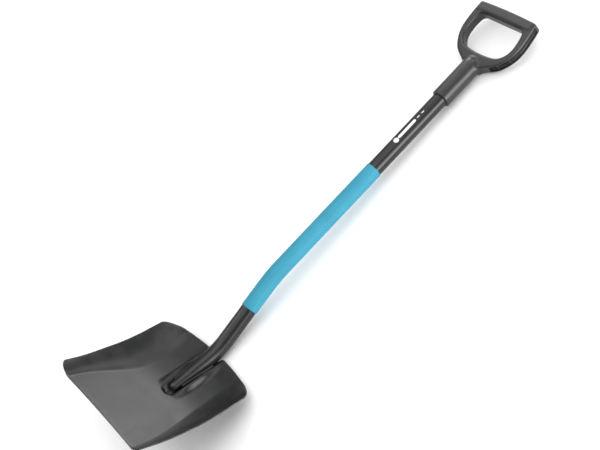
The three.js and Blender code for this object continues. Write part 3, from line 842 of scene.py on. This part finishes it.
def makePlastic():
    look = plasticLook
    paint = Paint("gripPlastic", IOR=look["index"])
    cloud = paint.curve(paint.noise(look["cloud"], 3.0, 0.5), 0.3, 0.7)
    spark = paint.noise(look["spark"], 2.0, 0.65)
    coarse = paint.noise(look["coarse"], 3.0, 0.6)
    edge = paint.attribute("edge")
    handled = edge * paint.curve(paint.noise(look["handledPatches"], 2.0, 0.5), 0.3, 0.6)
    colour = paint.mix(cloud * 0.5 + spark * 0.4, look["black"], look["grey"])
    colour = paint.mix(handled * 0.4, colour, look["polished"])
    rough = look["roughness"] + spark * 0.12 - handled * 0.1
    relief = paint.bump(spark * 0.7 + coarse * 0.3, look["relief"], 0.6)
    return paint.finish(Base_Color=colour, Roughness=rough, Normal=relief)


def makeGrip():
    points, quads = surfaceNet(gripField, grip["low"], grip["high"], grip["step"])
    # corners stand out where the mean of the field a little way off on all six sides is above nought
    spread = grip["wearSpread"]
    offsets = [side * spread * axis for axis in np.eye(3) for side in (-1, 1)]
    nearby = sum(gripField(*(points + offset).T) for offset in offsets) / len(offsets)
    edge = np.clip(nearby / spread * grip["wearGain"], 0, 1)
    a, b, c = points.T
    cos, sin = math.cos(grip["tilt"]), math.sin(grip["tilt"])
    placed = np.stack([a * cos - c * sin + grip["pivot"], b, a * sin + c * cos], -1)
    return makePiece("handGrip", placed, [quads], "root", ["d_grip"], "grip_plastic", makePlastic(),
                     edge=edge)


makeGrip()


# the screw in the back of the socket
screw = {
    "head": 5.0, "rim": 0.7, "rimDrop": 0.3, "crown": 0.2, "dome": 0.35, "seat": 2.3, "shank": 2.2,
    "shankEnd": 12, "tipEnd": 9, "core": 0.05, "sides": 96,
    "slotHalf": 0.75, "slotLong": 2.6, "slotDeep": 1.1, "slotFlank": 0.25, "slotRamp": 0.5,
}
zincLook = {
    "bright": (0.56, 0.56, 0.57),
    "stained": (0.42, 0.43, 0.44),
    # slot is a dark colour for the cross recess: painted shade in the recess
    "slot": (0.14, 0.14, 0.145),
    "roughness": 0.28,
    "scratch": 700,
    "stain": 260,
    "relief": 0.00003,
}


def makeZinc():
    look = zincLook
    paint = Paint("screwZinc", Metallic=1.0)
    scratch = paint.noise(look["scratch"], 3.0, 0.6)
    stain = paint.curve(paint.noise(look["stain"], 3.0, 0.6), 0.35, 0.7)
    colour = paint.mix(stain, look["stained"], look["bright"])
    # the cross recess is mixed towards the dark slot colour, which is painted shade
    colour = paint.mix(paint.attribute("edge") * 0.7, colour, look["slot"])
    rough = look["roughness"] + scratch * 0.2 + stain * 0.08
    return paint.finish(Base_Color=colour, Roughness=rough, Normal=paint.bump(scratch, look["relief"], 0.6))


def makeScrew():
    # a turned profile: a low crown, a quarter-round rim, the head's seat, the shank and its point; the
    # crown is sunk by a cross, wherever either arm's width and length both hold
    head, rim, shank, core = screw["head"], screw["rim"], screw["shank"], screw["core"]
    level = grip["bossLevel"]
    shankEnd, tipEnd = level - screw["shankEnd"], level - screw["tipEnd"]
    crown = np.linspace(core, head - rim, 26)
    flank = np.linspace(0, np.pi / 2, 6)[1:]
    radius = np.concatenate([crown, head - rim + rim * np.sin(flank), [head, shank, shank],
                             np.linspace(shank, core, 6)[1:]])
    down = np.concatenate([screw["dome"] * (crown / head) ** 2 + screw["crown"],
                           screw["crown"] + screw["rimDrop"] + rim * (1 - np.cos(flank)),
                           [screw["seat"], screw["seat"], shankEnd], np.linspace(shankEnd, tipEnd, 6)[1:]])
    angle = np.linspace(0, 2 * np.pi, screw["sides"], endpoint=False)
    x, y = radius[:, None] * np.cos(angle), radius[:, None] * np.sin(angle)
    narrow = np.minimum(np.abs(x), np.abs(y))
    wide = np.maximum(np.abs(x), np.abs(y))
    cross = np.clip((screw["slotHalf"] - narrow) / screw["slotFlank"], 0, 1)
    cross *= np.clip((screw["slotLong"] - wide) / screw["slotRamp"], 0, 1)
    cross *= (np.arange(len(radius)) < len(crown))[:, None]
    m = -level + down[:, None] + cross * screw["slotDeep"]
    rings = np.stack([grip["bossX"] + x, y, m + 0 * x], -1)
    # the cross mask goes out as the edge attribute, which darkens the recess with painted shade
    edge = np.concatenate([cross.ravel(), [1, 0]])
    return makePiece("gripScrew", withPoles(rings), roundFaces(*rings.shape[:2]), "root",
                     ["grip_screw"], "screw_zinc", makeZinc(), edge=edge)


makeScrew()
print("grip done")


# floor, light and tone
studio = {
    "floorSize": 12.0,
    "floorColour": (0.93, 0.93, 0.93),
    "floorShade": (0.88, 0.88, 0.88),
    "skyStrength": 0.25,
    "panelDistance": 2.6,
    "aimHeight": 0.1,
    "panels": [  # name, compass angle and height angle in degrees, width, height, brightness
        ("nearPanel", 290, 6, 1.8, 0.8, 13),
        ("nearEndPanel", 260, 6, 0.9, 0.8, 4),
        ("nearUpperPanel", 286, 23, 1.3, 0.8, 5.0),
        ("endPanel", 42, 15, 0.9, 1.6, 5.4),
        ("cornerPanel", 0, 33, 0.9, 1.6, 3.3),
        ("upperPanel", 45, 42, 1.8, 0.8, 2.2),
        ("farPanel", 126, 41, 1.5, 1.2, 3.6),
        ("topPanel", 0, 90, 2.7, 2.7, 2.2),
    ],
}


def makeFloor():
    size = studio["floorSize"] / 2
    mesh = bpy.data.meshes.new("floor")
    corners = [(-size, -size, 0), (size, -size, 0), (size, size, 0), (-size, size, 0)]
    mesh.from_pydata(corners, [], [(0, 1, 2, 3)])
    paint = Paint("floorPaper", Roughness=0.9)
    shade = paint.noise(3.0, 2.0, 0.5)
    colour = paint.mix(shade * 0.04, studio["floorColour"], studio["floorShade"])
    mesh.materials.append(paint.finish(Base_Color=colour))
    floor = bpy.data.objects.new("floor", mesh)
    bpy.context.scene.collection.objects.link(floor)


def makePanel(name, compass, rise, width, height, brightness):
    # an area light that faces the middle of the object; its power is brightness * pi * area
    data = bpy.data.lights.new(name, "AREA")
    data.shape = "RECTANGLE"
    data.size, data.size_y = width, height
    data.energy = brightness * math.pi * width * height
    panel = bpy.data.objects.new(name, data)
    bpy.context.scene.collection.objects.link(panel)
    across, up = math.radians(compass), math.radians(rise)
    away = Vector((math.cos(up) * math.cos(across), math.cos(up) * math.sin(across), math.sin(up)))
    panel.location = away * studio["panelDistance"] + Vector((0, 0, studio["aimHeight"]))
    panel.rotation_euler = away.to_track_quat("Z", "Y").to_euler()
    panel.visible_camera = False


def makeSky():
    world = bpy.data.worlds.new("studioSky")
    bpy.context.scene.world = world
    world.use_nodes = True
    background = world.node_tree.nodes["Background"]
    background.inputs["Color"].default_value = (1, 1, 1, 1)
    background.inputs["Strength"].default_value = studio["skyStrength"]


makeFloor()
makeSky()
for panel in studio["panels"]:
    makePanel(*panel)
bpy.context.scene.view_settings.view_transform = "Standard"
print("studio lit")
